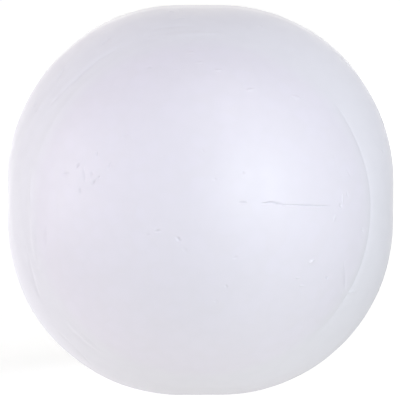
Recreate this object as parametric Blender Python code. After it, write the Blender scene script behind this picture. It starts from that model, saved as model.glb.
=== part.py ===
"""Moulded polystyrene ball, made in one piece.

Seen from the front the ball is a little squared: its outline has four shallow flats, joined
by wide round corners. A round dome stands on the front and another on the back. Between them
runs a belt, which swells from the circle at each dome's foot to the squared outline and has a
straight land where the two halves of the mould met. The ball stands on the land's lower flat.

Metres, +Z up, the domes face -Y and +Y, and the origin is the middle of the ball.
"""

import math

import bmesh
import bpy
from mathutils import Vector

# Driving dimensions, in metres
HEIGHT = 0.1000  # from the lower flat to the upper flat
WIDTH = 0.0992  # from the left flat to the right flat
DEPTH = 0.0990  # from the front dome's top to the back dome's top
BASE_FLAT = 0.0104  # how wide the upper and lower flats are
SIDE_FLAT = 0.0111  # how high the left and right flats are
BELT_DEPTH = 0.0496  # from the front seam to the back seam
LAND_DEPTH = 0.0120  # the belt's straight land, measured front to back
SEAM_INSET = 0.0065  # how far the round seam lies inside the nearer pair of flats
SEAM_TURN = math.radians(8)  # how far the surface turns outwards where it crosses the seam

# How finely the surface is divided
SPANS_PER_CORNER = 16
DOME_RINGS = 12
SHOULDER_RINGS = 6

FOAM_COLOUR = (0.79, 0.79, 0.84, 1.0)
FOAM_ROUGHNESS = 0.5


def start_empty_scene():
    """Remove whatever the file holds, and return a collection for the ball."""
    for thing in list(bpy.data.objects):
        bpy.data.objects.remove(thing, do_unlink=True)
    collection = bpy.data.collections.new("polystyrene_ball")
    bpy.context.scene.collection.children.link(collection)
    return collection


def foam_material():
    """White expanded polystyrene with the faint sheen of a moulded skin."""
    material = bpy.data.materials.new("white_foam")
    material.use_nodes = True
    shader = material.node_tree.nodes["Principled BSDF"]
    shader.inputs["Base Color"].default_value = FOAM_COLOUR
    shader.inputs["Roughness"].default_value = FOAM_ROUGHNESS
    shader.inputs["Metallic"].default_value = 0.0
    return material


def outline_points():
    """The belt's outline as (x, z) points, anticlockwise from the right flat's upper end.

    Each corner is a quarter of an ellipse from one flat's end to the next, and is followed
    by the middle of the flat that it runs into.
    """
    corner_width = (WIDTH - BASE_FLAT) / 2
    corner_height = (HEIGHT - SIDE_FLAT) / 2
    points = []
    for quarter, (side_x, side_z) in enumerate(((1, 1), (-1, 1), (-1, -1), (1, -1))):
        for span in range(SPANS_PER_CORNER + 1):
            angle = (quarter + span / SPANS_PER_CORNER) * math.pi / 2
            x = side_x * BASE_FLAT / 2 + corner_width * math.cos(angle)
            z = side_z * SIDE_FLAT / 2 + corner_height * math.sin(angle)
            points.append((x, z))
        points.append((WIDTH / 2 * math.cos(angle), HEIGHT / 2 * math.sin(angle)))
    return points


def seam_radius():
    """The radius of the circle where a dome meets the belt."""
    return min(WIDTH, HEIGHT) / 2 - SEAM_INSET


def dome_arc():
    """The radius of the dome's sphere, and the angle on it from the dome's top to the seam."""
    rise = (DEPTH - BELT_DEPTH) / 2
    foot = seam_radius()
    sphere_radius = (rise**2 + foot**2) / (2 * rise)
    return sphere_radius, math.atan2(foot, sphere_radius - rise)


def dome_profile():
    """(radius, depth) of each dome ring, from next to the dome's top to the seam."""
    sphere_radius, seam_angle = dome_arc()
    profile = []
    for ring in range(1, DOME_RINGS + 1):
        angle = seam_angle * ring / DOME_RINGS
        radius = sphere_radius * math.sin(angle)
        profile.append((radius, DEPTH / 2 - sphere_radius * (1 - math.cos(angle))))
    return profile


def shoulder_profile(reach):
    """(radius, depth) of the belt's rings after the seam, where the outline is at `reach`.

    The shoulder is a quadratic curve. At the seam it is SEAM_TURN less steep than the dome,
    all the way round, and it runs smoothly into the land. Its bend is where those two slopes
    would cross, which is never beyond the land's front edge.
    """
    seam_angle = dome_arc()[1]
    seam = Vector((seam_radius(), BELT_DEPTH / 2))
    land = Vector((reach, LAND_DEPTH / 2))
    drop = (reach - seam.x) * math.tan(seam_angle - SEAM_TURN)
    bend = Vector((reach, max(seam.y - drop, land.y)))
    profile = []
    for ring in range(1, SHOULDER_RINGS + 1):
        share = ring / SHOULDER_RINGS
        profile.append(tuple(seam.lerp(bend, share).lerp(bend.lerp(land, share), share)))
    return profile


def half_meridian(outline_point):
    """Points of the surface, from next to the front dome's top to the land's front edge."""
    across, up = outline_point
    reach = math.hypot(across, up)
    profile = dome_profile() + shoulder_profile(reach)
    return [Vector((r * across / reach, -depth, r * up / reach)) for r, depth in profile]


def ball_mesh():
    """A sphere primitive whose rings and segments are moved onto the ball's surface.

    The sphere's pole at +Z becomes the front dome's top, as if it were tipped forwards, so
    its faces still point out.
    """
    meridians = [half_meridian(point) for point in outline_points()]
    segments = len(meridians)
    front_rings = DOME_RINGS + SHOULDER_RINGS
    last_row = 2 * front_rings + 1
    bm = bmesh.new()
    bmesh.ops.create_uvsphere(bm, u_segments=segments, v_segments=last_row, radius=1.0)
    seam = set()
    for vertex in bm.verts:
        x, y, z = vertex.co
        row = round(math.acos(max(-1.0, min(1.0, z))) / math.pi * last_row)
        if row == 0 or row == last_row:
            vertex.co = (0, math.copysign(DEPTH / 2, -z), 0)
            continue
        segment = round(math.atan2(y, x) / (2 * math.pi) * segments) % segments
        point = meridians[segment][min(row, last_row - row) - 1].copy()
        if row > front_rings:
            point.y = -point.y
        vertex.co = point
        if row in (DOME_RINGS, last_row - DOME_RINGS):
            seam.add(vertex)
    for edge in bm.edges:
        edge.smooth = not seam.issuperset(edge.verts)
    for face in bm.faces:
        face.smooth = True
    mesh = bpy.data.meshes.new("ball")
    bm.to_mesh(mesh)
    bm.free()
    return mesh


def build():
    collection = start_empty_scene()
    ball = bpy.data.objects.new("ball", ball_mesh())
    ball.data.materials.append(foam_material())
    collection.objects.link(ball)


build()
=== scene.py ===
"""Looks of a moulded polystyrene ball: its satin skin, the seams, the dents and the hairline.

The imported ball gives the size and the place. A finer mesh of the same form stands for it.
Metres, +Z up, the seen dome faces -Y, and the origin is the middle of the ball.
"""

import math
import random

import bmesh
import bpy
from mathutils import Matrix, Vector
from mathutils.bvhtree import BVHTree
from mathutils.kdtree import KDTree


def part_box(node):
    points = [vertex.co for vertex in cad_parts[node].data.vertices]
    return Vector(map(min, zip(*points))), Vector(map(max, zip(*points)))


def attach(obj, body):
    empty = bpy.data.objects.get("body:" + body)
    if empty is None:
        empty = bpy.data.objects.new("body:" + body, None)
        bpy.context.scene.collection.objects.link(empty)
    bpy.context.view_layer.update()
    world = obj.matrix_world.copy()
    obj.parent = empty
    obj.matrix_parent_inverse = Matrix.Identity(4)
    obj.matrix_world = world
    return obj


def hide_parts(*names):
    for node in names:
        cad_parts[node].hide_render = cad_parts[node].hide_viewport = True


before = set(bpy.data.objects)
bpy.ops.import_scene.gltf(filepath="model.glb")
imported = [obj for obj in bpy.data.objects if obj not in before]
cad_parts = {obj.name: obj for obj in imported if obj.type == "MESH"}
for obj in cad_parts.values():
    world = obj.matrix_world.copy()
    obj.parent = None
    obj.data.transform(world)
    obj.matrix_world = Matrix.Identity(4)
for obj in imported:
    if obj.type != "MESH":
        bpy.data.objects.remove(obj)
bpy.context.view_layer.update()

MM = 0.001

# The ball's form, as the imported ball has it
LOWEST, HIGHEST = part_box("ball")
WIDTH, DEPTH, HEIGHT = HIGHEST - LOWEST
CORNER_RADIUS = 44.4 * MM  # the outline's round corners, which leave four short flats
CORNER_STEPS = 90  # how finely each of those corners is divided
BELT_DEPTH = 49.6 * MM  # from the front seam to the back seam
LAND_DEPTH = 12.0 * MM  # the belt's straight land, measured front to back
SEAM_INSET = 6.5 * MM  # how far the round seam lies inside the nearer pair of flats
SEAM_TURN = math.radians(8)  # how far the surface turns outwards where it crosses the seam

# How the skin is divided into even triangles, counted in rings from a dome's top
DOME_RINGS = 70
SHOULDER_RINGS = 24
LAND_RINGS = 8
RINGS = DOME_RINGS + SHOULDER_RINGS + LAND_RINGS
TRIANGLE_SIZE = 0.75 * MM  # about how long a triangle's edge is on the ball
FINER_ROUNDS = 3  # how often the triangles under a narrow mark are halved
NARROW = 4  # a mark less than this many edges wide is narrow
NARROW_MARGIN = 0.8  # how many edges' lengths round it are halved too

# How uneven the skin is
BEAD_SIZE = 3.6 * MM  # one expanded bead, as wide as the mould left it
BEAD_SMOOTHNESS = 0.4  # how softly one bead meets the next
BEAD_EDGE = 0.7  # from a bead's middle to its border, in bead sizes
BEAD_CROWN = 0.022 * MM  # how far a bead's middle stands above its borders
WAVE_SIZE = 16.0 * MM  # slow waves where the foam shrank as it cooled
WAVE_HEIGHT = 0.11 * MM
WAVE_NOISE = (0.3, 0.7)  # the noise's value in a trough and on a crest
STREAK_SIZE = 2.8 * MM  # long low folds round the belt
STREAK_HEIGHT = 0.13 * MM
STREAK_NOISE = (0.35, 0.65)  # the noise's value between them and on them
STREAK_CHANGE = 1.1  # how fast they change round the belt
STREAK_START = -3.0 * MM  # how far inside the seam they begin to rise
STREAK_LEAST = 0.25  # their share on the right, which grows to 1 between the next two values of x
STREAK_FADE_FROM = 10.0 * MM
STREAK_FADE_TO = -20.0 * MM

# The seam is sharp on the right, with a fine groove, and is filled out everywhere else
SEAM_FILL = 5.0 * MM  # how far the fill reaches to each side
SEAM_GROOVE = 5.0 * MM
SEAM_GROOVE_DEPTH = 0.15 * MM
SHARP_FROM = math.radians(-40)  # angles round the front, 0 to the right and 90 up
SHARP_TO = math.radians(31)
FILL_FROM = -0.1  # the fill grows between these, in radians past the sharp stretch's end
FILL_TO = 0.25
SEAM_STEEPNESS = 1.8  # way along the surface there, for each step out from the middle line

# The foam's colours and finish, with painted shade and a painted tint on the belt
DOME_WHITES = ("#e4e0ea", "#e5e1ec")  # the darkest bead and the lightest one
# Painted light: the belt is painted a more neutral white than the domes, a painted tint of the light
# on its sides
BELT_PAINTED_TINT = "#e4e2ea"
PAINTED_TINT_FROM = 40.0 * MM  # the painted tint changes between these, measured from the line that
PAINTED_TINT_TO = 44.0 * MM  # runs through both domes
# Painted shade: the creases between beads are painted a little darker
BORDER_PAINTED_SHADE = "#dad8e0"
BORDER_SHADE_SHARE = 0.07  # how much of it a bead's border takes
BORDER_REACH = (0.35, 0.75)  # where a border begins and is at its fullest, in bead sizes
# Painted shade: the dents are painted a little grey
DENT_PAINTED_SHADE = "#bfbdc8"
DENT_SHADE_SHARE = 0.25  # how much of it the deepest dents take
DENT_DEPTH_RANGE = (0.08 * MM, 0.25 * MM)  # where a dent's painted shade and added roughness begin, and where they are full
BEAD_ROUGHNESS = 0.52
BORDER_ROUGHNESS = 0.57
DENT_ROUGHNESS = 0.3  # what the dents add to it
GRAIN_SIZE = 0.35 * MM  # the foam's cells
GRAIN_HEIGHT = 0.01 * MM
GRAIN_STRENGTH = 0.25
FOAM_IOR = 1.59

# Where the camera of the photograph stood, and how its picture lies
PHOTO_SIZE = 400
CAMERA_DISTANCE = 1.0
CAMERA_ELEVATION = math.radians(6.0)
PIXELS_PER_METRE = 3854  # in the plane through the ball's middle
MIDDLE_PIXEL = (200.5, 199.25)  # where the ball's middle lies in the picture
SENSOR_WIDTH = 36.0  # in millimetres, as the lens is
NEAREST_SEEN = 0.05

# The softboxes: (name, azimuth, elevation, width, height, radiance, colour). Azimuth 0 is in
# front of the ball and 90 is to its right, in degrees. Widths and heights are in metres.
SOFTBOXES = [
    ("right_softbox", 33, 13, 0.36, 0.36, 18.8, "#f2fcfe"),
    ("front_softbox", 16, 2, 0.50, 0.50, 0.7, "#f6f1ff"),
    ("top_softbox", 28, 59, 0.53, 0.52, 5.05, "#fff9fd"),
    ("left_softbox", -88, 7, 0.55, 0.94, 5.2, "#fbfaff"),
    ("back_softbox", 179, 14, 1.40, 1.20, 1.2, "#fffff4"),
    ("back_left_softbox", -140, 20, 1.00, 1.00, 0.7, "#fdffec"),
]
SOFTBOX_DISTANCE = 1.1

# The light table below the ball, and the floor that lets its light by
TABLE_GLOW = 1.29
TABLE_WHITE = "#fffffb"
TABLE_UP = (0.17, 0.0, 0.985)  # away from the table, whose middle is a little to the left
FLOOR_RADIUS = 8.0
FLOOR_SIDES = 64
FLOOR_DROP = 0.2 * MM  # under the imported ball, clear of the waves in its skin
FLOOR_COLOUR = "#bcbcbc"
FLOOR_GLOW = (0.72, 1.0)  # near the ball, where its shadow shows, and far from it
FLOOR_GLOW_REACH = (0.15, 1.0)  # where the first ends, and where the second begins
PURE_WHITE = "#ffffff"

# Marks seen in the photograph: (width, depth, pixels along the mark). Raised ones have a
# depth below 0.
HAIRLINE = [
    (0.9 * MM, 0.26 * MM, [(260, 203), (271, 202), (286, 205)]),
    (0.7 * MM, 0.19 * MM, [(278, 204), (303, 205), (330, 206)]),
    (0.8 * MM, 0.15 * MM, [(238, 202), (246, 202)]),
]
LEFT_DENTS = [
    (1.0 * MM, 0.16 * MM, [(61, 173), (69, 173)]),
    (1.2 * MM, 0.22 * MM, [(76, 167), (79, 163)]),
    (1.5 * MM, 0.15 * MM, [(83, 166), (85, 182)]),
    (1.1 * MM, 0.16 * MM, [(91, 171), (92, 176)]),
    (1.3 * MM, 0.24 * MM, [(92, 184), (95, 179)]),
    (1.0 * MM, 0.20 * MM, [(97, 179), (99, 176)]),
    (1.1 * MM, 0.22 * MM, [(79, 187), (80, 193)]),
    (1.1 * MM, 0.20 * MM, [(96, 151), (97, 156)]),
    (1.1 * MM, 0.18 * MM, [(107, 169), (111, 162)]),
    (1.0 * MM, 0.10 * MM, [(122, 137), (127, 133)]),
    (1.6 * MM, 0.07 * MM, [(67, 186), (70, 187)]),
]
LOWER_DENTS = [
    (1.1 * MM, 0.15 * MM, [(145, 234), (150, 234)]),
    (1.1 * MM, 0.18 * MM, [(155, 231), (160, 230)]),
    (1.3 * MM, 0.22 * MM, [(176, 237), (180, 240)]),
    (1.4 * MM, 0.10 * MM, [(183, 248), (186, 251)]),
    (1.0 * MM, 0.10 * MM, [(232, 258), (237, 256)]),
    (1.0 * MM, 0.12 * MM, [(225, 284), (226, 287)]),
    (1.0 * MM, 0.12 * MM, [(214, 301), (217, 301)]),
]
RIGHT_DENTS = [
    (1.4 * MM, -0.36 * MM, [(309, 262), (313, 260)]),
    (1.2 * MM, 0.29 * MM, [(325, 277), (328, 277)]),
    (0.9 * MM, -0.13 * MM, [(295, 277), (299, 277)]),
    (0.9 * MM, -0.13 * MM, [(299, 285), (304, 285)]),
    (1.1 * MM, -0.16 * MM, [(342, 193), (342, 203)]),
    (1.2 * MM, 0.26 * MM, [(339, 203), (341, 207)]),
    (1.1 * MM, -0.16 * MM, [(335, 214), (333, 221)]),
    (1.0 * MM, 0.16 * MM, [(346, 191), (347, 196)]),
    (1.8 * MM, 0.16 * MM, [(343, 260), (344, 290)]),
    (1.4 * MM, -0.16 * MM, [(346, 293), (355, 291)]),
    (1.0 * MM, 0.16 * MM, [(361, 228), (362, 231)]),
    (1.0 * MM, 0.16 * MM, [(381, 149), (383, 152)]),
    (1.6 * MM, 0.08 * MM, [(333, 152), (336, 166)]),
    (1.3 * MM, 0.10 * MM, [(346, 168), (350, 176)]),
]
UPPER_BUMPS = [
    (1.2 * MM, -0.15 * MM, [(187, 52), (193, 52)]),
    (1.2 * MM, -0.11 * MM, [(171, 70), (177, 70)]),
    (1.2 * MM, -0.15 * MM, [(214, 70), (221, 70)]),
    (1.1 * MM, -0.11 * MM, [(196, 62), (202, 62)]),
    (1.2 * MM, -0.13 * MM, [(246, 90), (253, 89)]),
    (1.2 * MM, 0.17 * MM, [(146, 67), (151, 67)]),
    (1.8 * MM, -0.20 * MM, [(292, 96), (299, 98)]),
    (1.8 * MM, 0.06 * MM, [(258, 25), (262, 27)]),
    (1.0 * MM, 0.10 * MM, [(201, 149), (203, 151)]),
    (1.0 * MM, 0.10 * MM, [(213, 179), (216, 179)]),
    (1.0 * MM, 0.13 * MM, [(241, 172), (244, 172)]),
]
UPPER_FOLDS = [
    (2.0 * MM, 0.18 * MM, [(50, 105), (62, 92), (75, 80), (98, 60), (118, 48)]),
    (1.7 * MM, 0.14 * MM, [(57, 81), (66, 66)]),
    (1.7 * MM, 0.15 * MM, [(99, 48), (106, 41), (113, 36)]),
    (1.3 * MM, -0.12 * MM, [(204, 33), (220, 33)]),
    (1.3 * MM, -0.12 * MM, [(174, 19), (186, 18)]),
    (2.4 * MM, 0.14 * MM, [(146, 30), (170, 27), (195, 26)]),
    (2.4 * MM, -0.12 * MM, [(146, 38), (180, 34), (226, 34)]),
    (2.8 * MM, -0.06 * MM, [(240, 44), (274, 44)]),
]
LEFT_FOLDS = [
    (3.2 * MM, -0.22 * MM, [(31, 170), (33, 220), (37, 264)]),
    (1.8 * MM, 0.15 * MM, [(24, 238), (29, 258), (40, 298)]),
    (2.4 * MM, -0.15 * MM, [(38, 268), (43, 271)]),
    (1.8 * MM, 0.12 * MM, [(46, 226), (46, 246)]),
    (2.4 * MM, -0.15 * MM, [(68, 322), (84, 337), (103, 352)]),
    (1.8 * MM, 0.14 * MM, [(58, 330), (78, 350), (92, 364)]),
]
PHOTO_MARKS = HAIRLINE + LEFT_DENTS + LOWER_DENTS + RIGHT_DENTS + UPPER_BUMPS
PHOTO_MARKS += UPPER_FOLDS + LEFT_FOLDS
MARK_STEPS = 6  # round marks to each width of a stroke

# Plain dents on the sides and the back
OTHER_DENTS = 60
OTHER_WIDTH = (0.9 * MM, 1.4 * MM)
OTHER_DEPTH = (0.08 * MM, 0.18 * MM)
OTHER_LENGTH = 0.5 * MM  # how far one reaches to each side, give or take
OTHER_FROM = -0.35  # no dent where the way out from the middle points further forwards, in y
OTHER_SEED = 7


def linear(hex_colour):
    """An sRGB colour such as "#e6e6ee" as the linear numbers that sockets hold, and full alpha."""
    numbers = [int(hex_colour[i : i + 2], 16) / 255 for i in (1, 3, 5)]
    return [n / 12.92 if n <= 0.04045 else ((n + 0.055) / 1.055) ** 2.4 for n in numbers] + [1.0]


def pick(sockets, key):
    """The socket in use with this name, or the one at this place among those in use."""
    in_use = [socket for socket in sockets if socket.enabled]
    if isinstance(key, int):
        return in_use[key]
    return next(socket for socket in in_use if socket.name == key)


def add(tree, kind, inputs=None, **settings):
    """Add a node with its settings, and feed each input from a value, a socket or a node."""
    node = tree.nodes.new(kind)
    for name, value in settings.items():
        setattr(node, name, value)
    for key, source in (inputs or {}).items():
        socket = pick(node.inputs, key)
        if isinstance(source, bpy.types.Node):
            source = pick(source.outputs, 0)
        if isinstance(source, bpy.types.NodeSocket):
            tree.links.new(source, socket)
        else:
            socket.default_value = source
    return node


def new_tree(name, inputs):
    """A Geometry Nodes tree whose inputs are a Geometry and the sockets named, each of its kind."""
    tree = bpy.data.node_groups.new(name, "GeometryNodeTree")
    tree.interface.new_socket("Geometry", in_out="OUTPUT", socket_type="NodeSocketGeometry")
    tree.interface.new_socket("Geometry", in_out="INPUT", socket_type="NodeSocketGeometry")
    for label, kind in inputs.items():
        tree.interface.new_socket(label, in_out="INPUT", socket_type=kind)
    return tree


def close_tree(tree, geometry, material):
    """End a tree as the export needs it: nothing left as an instance, and its material set."""
    real = add(tree, "GeometryNodeRealizeInstances", {"Geometry": geometry})
    coated = add(tree, "GeometryNodeSetMaterial", {"Geometry": real, "Material": material})
    add(tree, "NodeGroupOutput", {"Geometry": coated})


def run_tree(mesh, tree, values):
    """Run a tree on a mesh with these input values, and return the plain mesh it makes."""
    piece = bpy.data.objects.new("work_piece", mesh)
    bpy.context.scene.collection.objects.link(piece)
    modifier = piece.modifiers.new(tree.name, "NODES")
    modifier.node_group = tree
    for item in tree.interface.items_tree:
        if item.in_out == "INPUT" and item.name in values:
            modifier[item.identifier] = values[item.name]
    shown = piece.evaluated_get(bpy.context.evaluated_depsgraph_get())
    result = bpy.data.meshes.new_from_object(shown)
    bpy.data.objects.remove(piece)
    return result


def lattice_mesh():
    """Two flat discs of even triangles, the front one at y -1 and the back one at y +1.

    Each is a hexagon cut into small triangles, whose hexagonal rings are then made round.
    The two are joined at their rims.
    """
    bm = bmesh.new()
    bmesh.ops.create_circle(bm, segments=6, radius=1.0, cap_ends=True, cap_tris=True)
    bmesh.ops.subdivide_edges(bm, edges=bm.edges[:], cuts=RINGS - 1, use_grid_fill=True)
    sixth = math.pi / 3
    hair = 1e-5  # keeps a point where two sides meet on one of them
    for vertex in bm.verts:
        x, y, _ = vertex.co
        turn = math.atan2(y, x) - math.pi / 2
        side = math.floor(turn / sixth + hair)
        across = turn - (side + 0.5) * sixth
        share = math.hypot(x, y) * math.cos(across) / math.cos(sixth / 2)
        along = 0.5 + math.tan(across) / (2 * math.tan(sixth / 2))
        angle = math.pi / 2 + (side + along) * sixth
        vertex.co = (share * math.cos(angle), -1, share * math.sin(angle))
    for face in bm.faces:
        face.smooth = True
    back = bmesh.ops.duplicate(bm, geom=bm.verts[:] + bm.edges[:] + bm.faces[:])["geom"]
    for vertex in back:
        if isinstance(vertex, bmesh.types.BMVert):
            vertex.co.y = 1
    turned = [face for face in back if isinstance(face, bmesh.types.BMFace)]
    bmesh.ops.reverse_faces(bm, faces=turned)
    rim = [v for v in bm.verts if math.hypot(v.co.x, v.co.z) > 1 - 0.5 / RINGS]
    for vertex in rim:
        vertex.co.y = 0
    bmesh.ops.remove_doubles(bm, verts=rim, dist=0.1 / RINGS)
    mesh = bpy.data.meshes.new("lattice")
    bm.to_mesh(mesh)
    bm.free()
    return mesh


def form_tree():
    """The ball's form: each point of the lattice goes to its place on a dome or the belt."""
    names = ("Width", "Height", "Depth", "Corner Radius", "Belt Depth", "Land Depth")
    names += ("Seam Radius", "Dome Radius", "Dome Angle", "Belt Slope", "Dome Share", "Belt Share")
    inputs = {name: "NodeSocketFloat" for name in names} | {"Skin": "NodeSocketMaterial"}
    tree = new_tree("ball form", inputs)
    given = add(tree, "NodeGroupInput").outputs

    # The outline that the belt swells to, and how far it lies from the middle at each turn
    square = add(
        tree,
        "GeometryNodeCurvePrimitiveQuadrilateral",
        {"Width": given["Width"], "Height": given["Height"]},
    )
    outline = add(
        tree,
        "GeometryNodeFilletCurve",
        {"Curve": square, "Count": CORNER_STEPS, "Radius": given["Corner Radius"]},
        mode="POLY",
    )
    place = add(tree, "ShaderNodeSeparateXYZ", {0: add(tree, "GeometryNodeInputPosition")})
    x, side, z = place.outputs
    angle = add(tree, "ShaderNodeMath", {0: z, 1: x}, operation="ARCTAN2")
    turns = add(tree, "ShaderNodeMath", {0: angle, 1: 2 * math.pi}, operation="DIVIDE")
    turn = add(tree, "ShaderNodeMath", {0: turns}, operation="FRACT")
    rim = add(
        tree,
        "GeometryNodeSampleCurve",
        {"Curves": outline, "Factor": turn},
        mode="FACTOR",
        use_all_curves=True,
    ).outputs["Position"]
    reach = add(tree, "ShaderNodeVectorMath", {0: rim}, operation="LENGTH")
    outward = add(tree, "ShaderNodeVectorMath", {0: rim}, operation="NORMALIZE")

    # The dome: (radius, depth) on an arc from its top to the seam
    flat = add(tree, "ShaderNodeCombineXYZ", {"X": x, "Y": z})
    share = add(tree, "ShaderNodeVectorMath", {0: flat}, operation="LENGTH")
    dome_run = add(
        tree,
        "ShaderNodeMapRange",
        {"Value": share, "From Max": given["Dome Share"], "To Max": given["Dome Angle"]},
    )
    sine = add(tree, "ShaderNodeMath", {0: dome_run}, operation="SINE")
    cosine = add(tree, "ShaderNodeMath", {0: dome_run}, operation="COSINE")
    fall = add(tree, "ShaderNodeMath", {0: 1.0, 1: cosine}, operation="SUBTRACT")
    dome_unit = add(tree, "ShaderNodeCombineXYZ", {"X": sine, "Y": fall})
    half_depth = add(tree, "ShaderNodeMath", {0: given["Depth"], 1: 0.5}, operation="MULTIPLY")
    dome_top = add(tree, "ShaderNodeCombineXYZ", {"Y": half_depth})
    down = add(tree, "ShaderNodeMath", {0: given["Dome Radius"], 1: -1.0}, operation="MULTIPLY")
    arc = add(tree, "ShaderNodeCombineXYZ", {"X": given["Dome Radius"], "Y": down})
    dome = add(
        tree,
        "ShaderNodeVectorMath",
        {0: dome_unit, 1: arc, 2: dome_top},
        operation="MULTIPLY_ADD",
    )

    # The shoulder: a quadratic curve from the seam, by its bend, to the land
    seam_y = add(tree, "ShaderNodeMath", {0: given["Belt Depth"], 1: 0.5}, operation="MULTIPLY")
    land_y = add(tree, "ShaderNodeMath", {0: given["Land Depth"], 1: 0.5}, operation="MULTIPLY")
    out = add(tree, "ShaderNodeMath", {0: reach, 1: given["Seam Radius"]}, operation="SUBTRACT")
    drop = add(tree, "ShaderNodeMath", {0: out, 1: given["Belt Slope"]}, operation="MULTIPLY")
    bend_y = add(tree, "ShaderNodeMath", {0: seam_y, 1: drop}, operation="SUBTRACT")
    seam = add(tree, "ShaderNodeCombineXYZ", {"X": given["Seam Radius"], "Y": seam_y})
    bend = add(tree, "ShaderNodeCombineXYZ", {"X": reach, "Y": bend_y})
    land = add(tree, "ShaderNodeCombineXYZ", {"X": reach, "Y": land_y})
    run = add(
        tree,
        "ShaderNodeMapRange",
        {"Value": share, "From Min": given["Dome Share"], "From Max": given["Belt Share"]},
    )
    first = add(tree, "ShaderNodeMix", {"Factor": run, "A": seam, "B": bend}, data_type="VECTOR")
    second = add(tree, "ShaderNodeMix", {"Factor": run, "A": bend, "B": land}, data_type="VECTOR")
    belt = add(tree, "ShaderNodeMix", {"Factor": run, "A": first, "B": second}, data_type="VECTOR")

    # Dome or belt, then the land, which closes on the ball's middle plane
    on_belt = add(
        tree, "ShaderNodeMath", {0: share, 1: given["Dome Share"]}, operation="GREATER_THAN"
    )
    profile = add(
        tree, "ShaderNodeMix", {"Factor": on_belt, "A": dome, "B": belt}, data_type="VECTOR"
    )
    closing = add(
        tree,
        "ShaderNodeMapRange",
        {"Value": share, "From Min": given["Belt Share"], "To Min": 1.0, "To Max": 0.0},
    )
    radius, depth, _ = add(tree, "ShaderNodeSeparateXYZ", {0: profile}).outputs
    across = add(tree, "ShaderNodeVectorMath", {0: outward, "Scale": radius}, operation="SCALE")
    x_out, z_out, _ = add(tree, "ShaderNodeSeparateXYZ", {0: across}).outputs
    closed = add(tree, "ShaderNodeMath", {0: depth, 1: closing}, operation="MULTIPLY")
    y_out = add(tree, "ShaderNodeMath", {0: closed, 1: side}, operation="MULTIPLY")

    # The seam's edges stay sharp, and the points move last
    on_seam = add(
        tree,
        "FunctionNodeCompare",
        {"A": share, "B": given["Dome Share"], "Epsilon": 0.2 / RINGS},
        data_type="FLOAT",
        operation="EQUAL",
    )
    creased = add(
        tree,
        "GeometryNodeSetShadeSmooth",
        {"Geometry": given["Geometry"], "Selection": on_seam, "Shade Smooth": False},
        domain="EDGE",
    )
    moved = add(
        tree,
        "GeometryNodeSetPosition",
        {
            "Geometry": creased,
            "Position": add(tree, "ShaderNodeCombineXYZ", {"X": x_out, "Y": y_out, "Z": z_out}),
        },
    )
    close_tree(tree, moved, given["Skin"])
    return tree


def form_values(material):
    """The form's sizes, with those that follow from the named ones."""
    seam_radius = min(WIDTH, HEIGHT) / 2 - SEAM_INSET
    rise = (DEPTH - BELT_DEPTH) / 2
    dome_radius = (rise**2 + seam_radius**2) / (2 * rise)
    dome_angle = math.atan2(seam_radius, dome_radius - rise)
    return {
        "Width": WIDTH,
        "Height": HEIGHT,
        "Depth": DEPTH,
        "Corner Radius": CORNER_RADIUS,
        "Belt Depth": BELT_DEPTH,
        "Land Depth": LAND_DEPTH,
        "Seam Radius": seam_radius,
        "Dome Radius": dome_radius,
        "Dome Angle": dome_angle,
        "Belt Slope": math.tan(dome_angle - SEAM_TURN),
        "Dome Share": DOME_RINGS / RINGS,
        "Belt Share": (DOME_RINGS + SHOULDER_RINGS) / RINGS,
        "Skin": material,
    }


def eye():
    """Where the photograph's camera stands, and how it is turned."""
    back = Vector((0, -math.cos(CAMERA_ELEVATION), math.sin(CAMERA_ELEVATION)))
    turn = (-back).to_track_quat("-Z", "Y")
    right = (PHOTO_SIZE / 2 - MIDDLE_PIXEL[0]) / PIXELS_PER_METRE
    up = (MIDDLE_PIXEL[1] - PHOTO_SIZE / 2) / PIXELS_PER_METRE
    return back * CAMERA_DISTANCE + turn @ Vector((right, up, 0)), turn


def seen_point(surface, pixel):
    """The point of the ball that the middle of this pixel of the photograph shows."""
    place, turn = eye()
    scale = PIXELS_PER_METRE * CAMERA_DISTANCE
    right = (pixel[0] + 0.5 - PHOTO_SIZE / 2) / scale
    up = (PHOTO_SIZE / 2 - pixel[1] - 0.5) / scale
    return surface.ray_cast(place, turn @ Vector((right, up, -1)))[0]


def stroke(surface, width, depth, corners):
    """A mark as a row of overlapping round ones, (place, width, depth), that fades at its ends."""
    lengths = [(b - a).length for a, b in zip(corners, corners[1:])]
    row = []
    start = 0.0
    for a, b, length in zip(corners, corners[1:], lengths):
        steps = max(1, round(length / (width / MARK_STEPS)))
        for step in range(steps):
            share = (step + 0.5) / steps
            fade = math.sqrt(math.sin(math.pi * (start + length * share) / sum(lengths)))
            place = surface.find_nearest(a.lerp(b, share))[0]
            row.append((place, width * (0.5 + 0.5 * fade), depth * fade))
        start += length
    return row


def all_marks(form):
    """Every mark in the skin: those of the photograph, then plain dents on the sides and back."""
    surface = BVHTree.FromPolygons([v.co for v in form.vertices], [p.vertices for p in form.polygons])
    marks = []
    for width, depth, pixels in PHOTO_MARKS:
        marks += stroke(surface, width, depth, [seen_point(surface, pixel) for pixel in pixels])
    draw = random.Random(OTHER_SEED)
    placed = 0
    while placed < OTHER_DENTS:
        direction = Vector((draw.gauss(0, 1), draw.gauss(0, 1), draw.gauss(0, 1))).normalized()
        sideways = Vector((draw.gauss(0, 1), draw.gauss(0, 1), draw.gauss(0, 1))) * OTHER_LENGTH
        if direction.y < OTHER_FROM:
            continue
        middle = surface.ray_cast(Vector(), direction)[0]
        ends = [middle - sideways, middle + sideways]
        marks += stroke(surface, draw.uniform(*OTHER_WIDTH), draw.uniform(*OTHER_DEPTH), ends)
        placed += 1
    return marks


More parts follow.
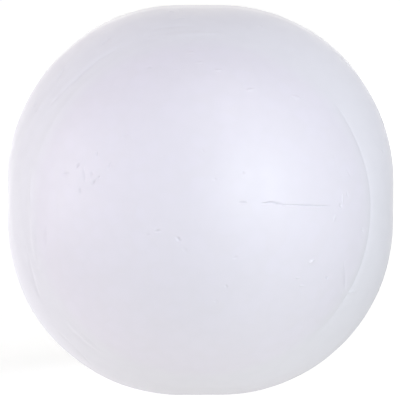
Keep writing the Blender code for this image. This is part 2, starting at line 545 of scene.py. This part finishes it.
def marks_object(marks):
    """The marks as points with a width and a depth, for the skin's tree to read."""
    mesh = bpy.data.meshes.new("marks")
    mesh.from_pydata([place for place, _, _ in marks], [], [])
    for name, values in (("width", [m[1] for m in marks]), ("depth", [m[2] for m in marks])):
        mesh.attributes.new(name, "FLOAT", "POINT").data.foreach_set("value", values)
    holder = bpy.data.objects.new("marks", mesh)
    bpy.context.scene.collection.objects.link(holder)
    return holder


def refine(lattice, form, marks, edge):
    """Halve the lattice's triangles under the marks that are too narrow for edges this long."""
    narrow = [mark for mark in marks if mark[1] < NARROW * edge]
    finder = KDTree(len(narrow))
    for index, (place, _, _) in enumerate(narrow):
        finder.insert(place, index)
    finder.balance()
    bm = bmesh.new()
    bm.from_mesh(lattice)
    bm.verts.ensure_lookup_table()
    near = set()
    for vertex in form.vertices:
        _, index, distance = finder.find(vertex.co)
        if distance < narrow[index][1] / 2 + NARROW_MARGIN * edge:
            near.add(vertex.index)
    edges = {e for i in near for face in bm.verts[i].link_faces for e in face.edges}
    bmesh.ops.subdivide_edges(bm, edges=list(edges), cuts=1, use_grid_fill=True)
    bmesh.ops.triangulate(bm, faces=[face for face in bm.faces if len(face.verts) > 3])
    bm.to_mesh(lattice)
    bm.free()


def skin_tree():
    """The moulded skin: crowned beads, waves, streaks, the seam, and the marks pressed into it."""
    names = ("Bead Size", "Bead Crown", "Wave Size", "Wave Height", "Streak Size", "Streak Height")
    names += ("Seam Radius", "Seam Fill", "Fill Height", "Groove Width", "Groove Depth")
    names += ("Sharp Middle", "Sharp Reach")
    inputs = {"Marks": "NodeSocketObject", "Skin": "NodeSocketMaterial"}
    tree = new_tree("moulded skin", inputs | {name: "NodeSocketFloat" for name in names})
    given = add(tree, "NodeGroupInput").outputs
    place = add(tree, "GeometryNodeInputPosition")

    bead_scale = add(tree, "ShaderNodeMath", {0: 1.0, 1: given["Bead Size"]}, operation="DIVIDE")
    bead = add(
        tree,
        "ShaderNodeTexVoronoi",
        {"Vector": place, "Scale": bead_scale, "Smoothness": BEAD_SMOOTHNESS},
        feature="SMOOTH_F1",
    ).outputs["Distance"]
    wave_scale = add(tree, "ShaderNodeMath", {0: 1.0, 1: given["Wave Size"]}, operation="DIVIDE")
    wave = add(
        tree,
        "ShaderNodeTexNoise",
        {"Vector": place, "Scale": wave_scale, "Detail": 1.0},
    ).outputs[0]
    crown = add(
        tree,
        "ShaderNodeMapRange",
        {"Value": bead, "From Max": BEAD_EDGE, "To Min": given["Bead Crown"], "To Max": 0.0},
    )
    trough, crest = WAVE_NOISE
    swell = add(
        tree,
        "ShaderNodeMapRange",
        {"Value": wave, "From Min": trough, "From Max": crest, "To Max": given["Wave Height"]},
    )

    # Round the front: the angle, the distance from the middle line, and the way past the seam
    x, _, z = add(tree, "ShaderNodeSeparateXYZ", {0: place}).outputs
    angle = add(tree, "ShaderNodeMath", {0: z, 1: x}, operation="ARCTAN2")
    flat = add(tree, "ShaderNodeCombineXYZ", {"X": x, "Y": z})
    radius = add(tree, "ShaderNodeVectorMath", {0: flat}, operation="LENGTH").outputs["Value"]
    past = add(tree, "ShaderNodeMath", {0: radius, 1: given["Seam Radius"]}, operation="SUBTRACT")
    along = add(tree, "ShaderNodeMath", {0: past, 1: SEAM_STEEPNESS}, operation="MULTIPLY")
    off_seam = add(tree, "ShaderNodeMath", {0: along}, operation="ABSOLUTE")

    # Streaks: noise that is drawn out round the belt, strongest on the left
    heading = add(tree, "ShaderNodeVectorMath", {0: flat}, operation="NORMALIZE")
    streak_scale = add(
        tree, "ShaderNodeMath", {0: 1.0, 1: given["Streak Size"]}, operation="DIVIDE"
    )
    ring = add(tree, "ShaderNodeMath", {0: along, 1: streak_scale}, operation="MULTIPLY")
    drawn_out = add(
        tree, "ShaderNodeVectorMath", {0: heading, "Scale": STREAK_CHANGE}, operation="SCALE"
    )
    lane = add(tree, "ShaderNodeCombineXYZ", {"Z": ring})
    lanes = add(tree, "ShaderNodeVectorMath", {0: drawn_out, 1: lane}, operation="ADD")
    streak = add(
        tree, "ShaderNodeTexNoise", {"Vector": lanes, "Scale": 1.0, "Detail": 1.0}
    ).outputs[0]
    on_belt = add(
        tree,
        "ShaderNodeMapRange",
        {"Value": past, "From Min": STREAK_START, "From Max": 0.0},
        interpolation_type="SMOOTHSTEP",
    )
    to_left = add(
        tree,
        "ShaderNodeMapRange",
        {
            "Value": x,
            "From Min": STREAK_FADE_FROM,
            "From Max": STREAK_FADE_TO,
            "To Min": STREAK_LEAST,
        },
        interpolation_type="SMOOTHSTEP",
    )
    streak_mask = add(tree, "ShaderNodeMath", {0: on_belt, 1: to_left}, operation="MULTIPLY")
    low, high = STREAK_NOISE
    streaked = add(
        tree,
        "ShaderNodeMapRange",
        {"Value": streak, "From Min": low, "From Max": high, "To Max": given["Streak Height"]},
    )
    fold = add(tree, "ShaderNodeMath", {0: streaked, 1: streak_mask}, operation="MULTIPLY")

    # The seam: filled out where it is not sharp, and a fine groove where it is
    off_middle = add(
        tree, "ShaderNodeMath", {0: angle, 1: given["Sharp Middle"]}, operation="SUBTRACT"
    )
    off_sharp = add(tree, "ShaderNodeMath", {0: off_middle}, operation="ABSOLUTE")
    beyond = add(
        tree, "ShaderNodeMath", {0: off_sharp, 1: given["Sharp Reach"]}, operation="SUBTRACT"
    )
    filled = add(
        tree,
        "ShaderNodeMapRange",
        {"Value": beyond, "From Min": FILL_FROM, "From Max": FILL_TO},
        interpolation_type="SMOOTHSTEP",
    )
    fill_share = add(
        tree,
        "ShaderNodeMapRange",
        {"Value": off_seam, "From Max": given["Seam Fill"], "To Min": 1.0, "To Max": 0.0},
    )
    fill_curve = add(tree, "ShaderNodeMath", {0: fill_share, 1: 2.0}, operation="POWER")
    fill = add(tree, "ShaderNodeMath", {0: fill_curve, 1: given["Fill Height"]}, operation="MULTIPLY")
    fill_here = add(tree, "ShaderNodeMath", {0: fill, 1: filled}, operation="MULTIPLY")
    half_groove = add(
        tree, "ShaderNodeMath", {0: given["Groove Width"], 1: 0.5}, operation="MULTIPLY"
    )
    groove = add(
        tree,
        "ShaderNodeMapRange",
        {"Value": off_seam, "From Max": half_groove, "To Min": 1.0, "To Max": 0.0},
    )
    groove_curve = add(tree, "ShaderNodeMath", {0: groove, 1: 2.0}, operation="POWER")
    cut = add(
        tree, "ShaderNodeMath", {0: groove_curve, 1: given["Groove Depth"]}, operation="MULTIPLY"
    )
    open_here = add(tree, "ShaderNodeMath", {0: 1.0, 1: filled}, operation="SUBTRACT")
    groove_here = add(tree, "ShaderNodeMath", {0: cut, 1: open_here}, operation="MULTIPLY")
    seam = add(tree, "ShaderNodeMath", {0: fill_here, 1: groove_here}, operation="SUBTRACT")

    # The marks: each point takes the nearest mark's width and depth
    source = add(tree, "GeometryNodeObjectInfo", {"Object": given["Marks"]}).outputs["Geometry"]
    nearest = add(tree, "GeometryNodeSampleNearest", {"Geometry": source}, domain="POINT")
    read = {}
    for name in ("width", "depth"):
        value = add(tree, "GeometryNodeInputNamedAttribute", {"Name": name}, data_type="FLOAT")
        read[name] = add(
            tree,
            "GeometryNodeSampleIndex",
            {"Geometry": source, "Value": value, "Index": nearest},
            data_type="FLOAT",
            domain="POINT",
        )
    distance = add(
        tree, "GeometryNodeProximity", {"Geometry": source}, target_element="POINTS"
    ).outputs["Distance"]
    half = add(tree, "ShaderNodeMath", {0: read["width"], 1: 0.5}, operation="MULTIPLY")
    hollow = add(
        tree,
        "ShaderNodeMapRange",
        {"Value": distance, "From Max": half, "To Min": 1.0, "To Max": 0.0},
        interpolation_type="SMOOTHERSTEP",
    )
    sunk = add(tree, "ShaderNodeMath", {0: hollow, 1: read["depth"]}, operation="MULTIPLY")

    uneven = add(tree, "ShaderNodeMath", {0: crown, 1: swell}, operation="ADD")
    folded = add(tree, "ShaderNodeMath", {0: uneven, 1: fold}, operation="ADD")
    raised = add(tree, "ShaderNodeMath", {0: folded, 1: seam}, operation="ADD")
    height = add(tree, "ShaderNodeMath", {0: raised, 1: sunk}, operation="SUBTRACT")
    offset = add(
        tree,
        "ShaderNodeVectorMath",
        {0: add(tree, "GeometryNodeInputNormal"), "Scale": height},
        operation="SCALE",
    )
    stored = add(
        tree,
        "GeometryNodeStoreNamedAttribute",
        {"Geometry": given["Geometry"], "Name": "sunk", "Value": sunk},
        data_type="FLOAT",
        domain="POINT",
    )
    pressed = add(tree, "GeometryNodeSetPosition", {"Geometry": stored, "Offset": offset})
    close_tree(tree, pressed, given["Skin"])
    return tree


def foam_ball(material):
    """The ball as one plain fine mesh at the origin."""
    lattice = lattice_mesh()
    form = form_tree()
    values = form_values(material)
    ball = run_tree(lattice, form, values)
    marks = all_marks(ball)
    for finer in range(FINER_ROUNDS):
        refine(lattice, ball, marks, TRIANGLE_SIZE / 2**finer)
        ball = run_tree(lattice, form, values)
    holder = marks_object(marks)
    relief = {
        "Marks": holder,
        "Skin": material,
        "Bead Size": BEAD_SIZE,
        "Bead Crown": BEAD_CROWN,
        "Wave Size": WAVE_SIZE,
        "Wave Height": WAVE_HEIGHT,
        "Streak Size": STREAK_SIZE,
        "Streak Height": STREAK_HEIGHT,
        "Seam Radius": values["Seam Radius"],
        "Seam Fill": SEAM_FILL,
        "Fill Height": SEAM_TURN * SEAM_FILL / 4,
        "Groove Width": SEAM_GROOVE,
        "Groove Depth": SEAM_GROOVE_DEPTH,
        "Sharp Middle": (SHARP_FROM + SHARP_TO) / 2,
        "Sharp Reach": (SHARP_TO - SHARP_FROM) / 2,
    }
    ball = run_tree(ball, skin_tree(), relief)
    bpy.data.objects.remove(holder)
    foam = bpy.data.objects.new("foam_ball", ball)
    bpy.context.scene.collection.objects.link(foam)
    return foam


def foam_material():
    """Expanded polystyrene, steam moulded.

    Its beads are fused and pressed flat against the mould, so the skin is a pearly satin white
    with a broad soft sheen. Up close each bead is a shade lighter or darker than the next, the
    borders between beads are rougher and darkened with painted shade, and the dents are a
    little rougher and greyed with painted shade. The domes have a faint violet tint, and the
    belt between them is painted a more neutral white, a painted tint of the light on its sides.
    """
    material = bpy.data.materials.new("steam_moulded_polystyrene")
    material.use_nodes = True
    tree = material.node_tree
    tree.nodes.clear()
    place = add(tree, "ShaderNodeTexCoord").outputs["Object"]
    beads = add(
        tree,
        "ShaderNodeTexVoronoi",
        {"Vector": place, "Scale": 1 / BEAD_SIZE, "Smoothness": BEAD_SMOOTHNESS},
        feature="SMOOTH_F1",
    )
    begins, fullest = BORDER_REACH
    border = add(
        tree,
        "ShaderNodeMapRange",
        {"Value": beads.outputs["Distance"], "From Min": begins, "From Max": fullest},
        interpolation_type="SMOOTHSTEP",
    )
    shade = add(tree, "ShaderNodeSeparateXYZ", {0: beads.outputs["Color"]})
    darkest, lightest = DOME_WHITES
    pearl = add(
        tree,
        "ShaderNodeMix",
        {"Factor": shade, "A": linear(darkest), "B": linear(lightest)},
        data_type="RGBA",
    )
    # Painted light: towards the belt the white turns more neutral, a painted tint of the light on its
    # sides
    x, _, z = add(tree, "ShaderNodeSeparateXYZ", {0: place}).outputs
    flat = add(tree, "ShaderNodeCombineXYZ", {"X": x, "Y": z})
    off_axis = add(tree, "ShaderNodeVectorMath", {0: flat}, operation="LENGTH").outputs["Value"]
    on_belt = add(
        tree,
        "ShaderNodeMapRange",
        {"Value": off_axis, "From Min": PAINTED_TINT_FROM, "From Max": PAINTED_TINT_TO},
        interpolation_type="SMOOTHSTEP",
    )
    skin = add(
        tree,
        "ShaderNodeMix",
        {"Factor": on_belt, "A": pearl, "B": linear(BELT_PAINTED_TINT)},
        data_type="RGBA",
    )
    # Painted shade: the borders between beads are painted a little darker
    border_shade_share = add(tree, "ShaderNodeMath", {0: border, 1: BORDER_SHADE_SHARE}, operation="MULTIPLY")
    border_shaded = add(
        tree,
        "ShaderNodeMix",
        {"Factor": border_shade_share, "A": skin, "B": linear(BORDER_PAINTED_SHADE)},
        data_type="RGBA",
    )
    # Painted shade: the dents are painted greyer by their depth, and made a little rougher
    sunk = add(tree, "ShaderNodeAttribute", attribute_name="sunk").outputs["Fac"]
    dent_starts, dent_full = DENT_DEPTH_RANGE
    dent_shade_and_roughness = add(
        tree,
        "ShaderNodeMapRange",
        {"Value": sunk, "From Min": dent_starts, "From Max": dent_full, "To Max": DENT_SHADE_SHARE},
    )
    white = add(
        tree,
        "ShaderNodeMix",
        {"Factor": dent_shade_and_roughness, "A": border_shaded, "B": linear(DENT_PAINTED_SHADE)},
        data_type="RGBA",
    )
    satin = add(
        tree,
        "ShaderNodeMapRange",
        {"Value": border, "To Min": BEAD_ROUGHNESS, "To Max": BORDER_ROUGHNESS},
    )
    roughness = add(
        tree, "ShaderNodeMath", {0: dent_shade_and_roughness, 1: DENT_ROUGHNESS, 2: satin}, operation="MULTIPLY_ADD"
    )
    cells = add(
        tree, "ShaderNodeTexNoise", {"Vector": place, "Scale": 1 / GRAIN_SIZE, "Detail": 2.0}
    ).outputs[0]
    grain = add(
        tree,
        "ShaderNodeBump",
        {"Strength": GRAIN_STRENGTH, "Distance": GRAIN_HEIGHT, "Height": cells},
    )
    foam = add(
        tree,
        "ShaderNodeBsdfPrincipled",
        {"Base Color": white, "Roughness": roughness, "IOR": FOAM_IOR, "Normal": grain},
    )
    add(tree, "ShaderNodeOutputMaterial", {"Surface": foam})
    return material


def add_camera():
    """The camera of the photograph: a long lens a little above the ball's middle."""
    data = bpy.data.cameras.new("photo_camera")
    data.sensor_width = SENSOR_WIDTH
    data.lens = PIXELS_PER_METRE * CAMERA_DISTANCE * SENSOR_WIDTH / PHOTO_SIZE
    data.clip_start = NEAREST_SEEN
    camera = bpy.data.objects.new("photo_camera", data)
    bpy.context.scene.collection.objects.link(camera)
    camera.rotation_mode = "QUATERNION"
    camera.location, camera.rotation_quaternion = eye()
    bpy.context.scene.camera = camera


def backdrop_rays(tree):
    """1 for the rays that show the backdrop: the camera's, and those off metal and through glass."""
    rays = add(tree, "ShaderNodeLightPath").outputs
    seen = add(
        tree,
        "ShaderNodeMath",
        {0: rays["Is Camera Ray"], 1: rays["Is Glossy Ray"]},
        operation="MAXIMUM",
    )
    return add(
        tree, "ShaderNodeMath", {0: seen, 1: rays["Is Transmission Ray"]}, operation="MAXIMUM"
    )


def add_floor():
    """A wide white floor, which keeps the ball's shadow and lets the light table's light by."""
    bpy.ops.mesh.primitive_circle_add(vertices=FLOOR_SIDES, radius=FLOOR_RADIUS, fill_type="NGON")
    floor = bpy.context.object
    floor.name = "floor"
    floor.location.z = LOWEST.z - FLOOR_DROP
    floor.visible_diffuse = False
    floor.visible_glossy = False
    floor.visible_transmission = False
    floor.visible_shadow = False
    material = bpy.data.materials.new("white_floor")
    material.use_nodes = True
    tree = material.node_tree
    tree.nodes.clear()
    place = add(tree, "ShaderNodeTexCoord").outputs["Object"]
    away = add(tree, "ShaderNodeVectorMath", {0: place}, operation="LENGTH").outputs["Value"]
    near, far = FLOOR_GLOW
    near_end, far_start = FLOOR_GLOW_REACH
    strength = add(
        tree,
        "ShaderNodeMapRange",
        {"Value": away, "From Min": near_end, "From Max": far_start, "To Min": near, "To Max": far},
    )
    diffuse = add(tree, "ShaderNodeBsdfDiffuse", {"Color": linear(FLOOR_COLOUR)})
    glow = add(tree, "ShaderNodeEmission", {"Color": linear(PURE_WHITE), "Strength": strength})
    lit = add(tree, "ShaderNodeAddShader", {0: diffuse, 1: glow})
    shown = add(tree, "ShaderNodeMixShader", {0: backdrop_rays(tree), 1: diffuse, 2: lit})
    add(tree, "ShaderNodeOutputMaterial", {"Surface": shown})
    floor.data.materials.append(material)


def add_softbox(name, azimuth, elevation, width, height, radiance, colour):
    """A soft lamp that faces the ball, and isn't seen by the camera."""
    data = bpy.data.lights.new(name, "AREA")
    data.shape = "RECTANGLE"
    data.size = width
    data.size_y = height
    data.energy = radiance * math.pi * width * height
    data.color = linear(colour)[:3]
    lamp = bpy.data.objects.new(name, data)
    a, e = math.radians(azimuth), math.radians(elevation)
    towards = Vector((math.sin(a) * math.cos(e), -math.cos(a) * math.cos(e), math.sin(e)))
    lamp.location = SOFTBOX_DISTANCE * towards
    lamp.rotation_mode = "QUATERNION"
    lamp.rotation_quaternion = (-towards).to_track_quat("-Z", "Y")
    lamp.visible_camera = False
    bpy.context.scene.collection.objects.link(lamp)


def add_world():
    """Soft light from the light table below. What shows of the world is white all round."""
    world = bpy.data.worlds.new("studio")
    world.use_nodes = True
    tree = world.node_tree
    tree.nodes.clear()
    towards = add(tree, "ShaderNodeTexCoord").outputs["Generated"]
    up = add(
        tree, "ShaderNodeVectorMath", {0: towards, 1: TABLE_UP}, operation="DOT_PRODUCT"
    ).outputs["Value"]
    strength = add(
        tree,
        "ShaderNodeMapRange",
        {"Value": up, "From Min": -1.0, "From Max": 0.0, "To Min": TABLE_GLOW, "To Max": 0.0},
    )
    light = add(tree, "ShaderNodeBackground", {"Color": linear(TABLE_WHITE), "Strength": strength})
    white = add(tree, "ShaderNodeBackground", {"Color": linear(PURE_WHITE), "Strength": 1.0})
    shown = add(tree, "ShaderNodeMixShader", {0: backdrop_rays(tree), 1: light, 2: white})
    add(tree, "ShaderNodeOutputWorld", {"Surface": shown})
    bpy.context.scene.world = world


add_camera()
add_world()
add_floor()
for softbox in SOFTBOXES:
    add_softbox(*softbox)

ball = foam_ball(foam_material())
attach(ball, "root")
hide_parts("ball")

bpy.context.scene.view_settings.view_transform = "Standard"
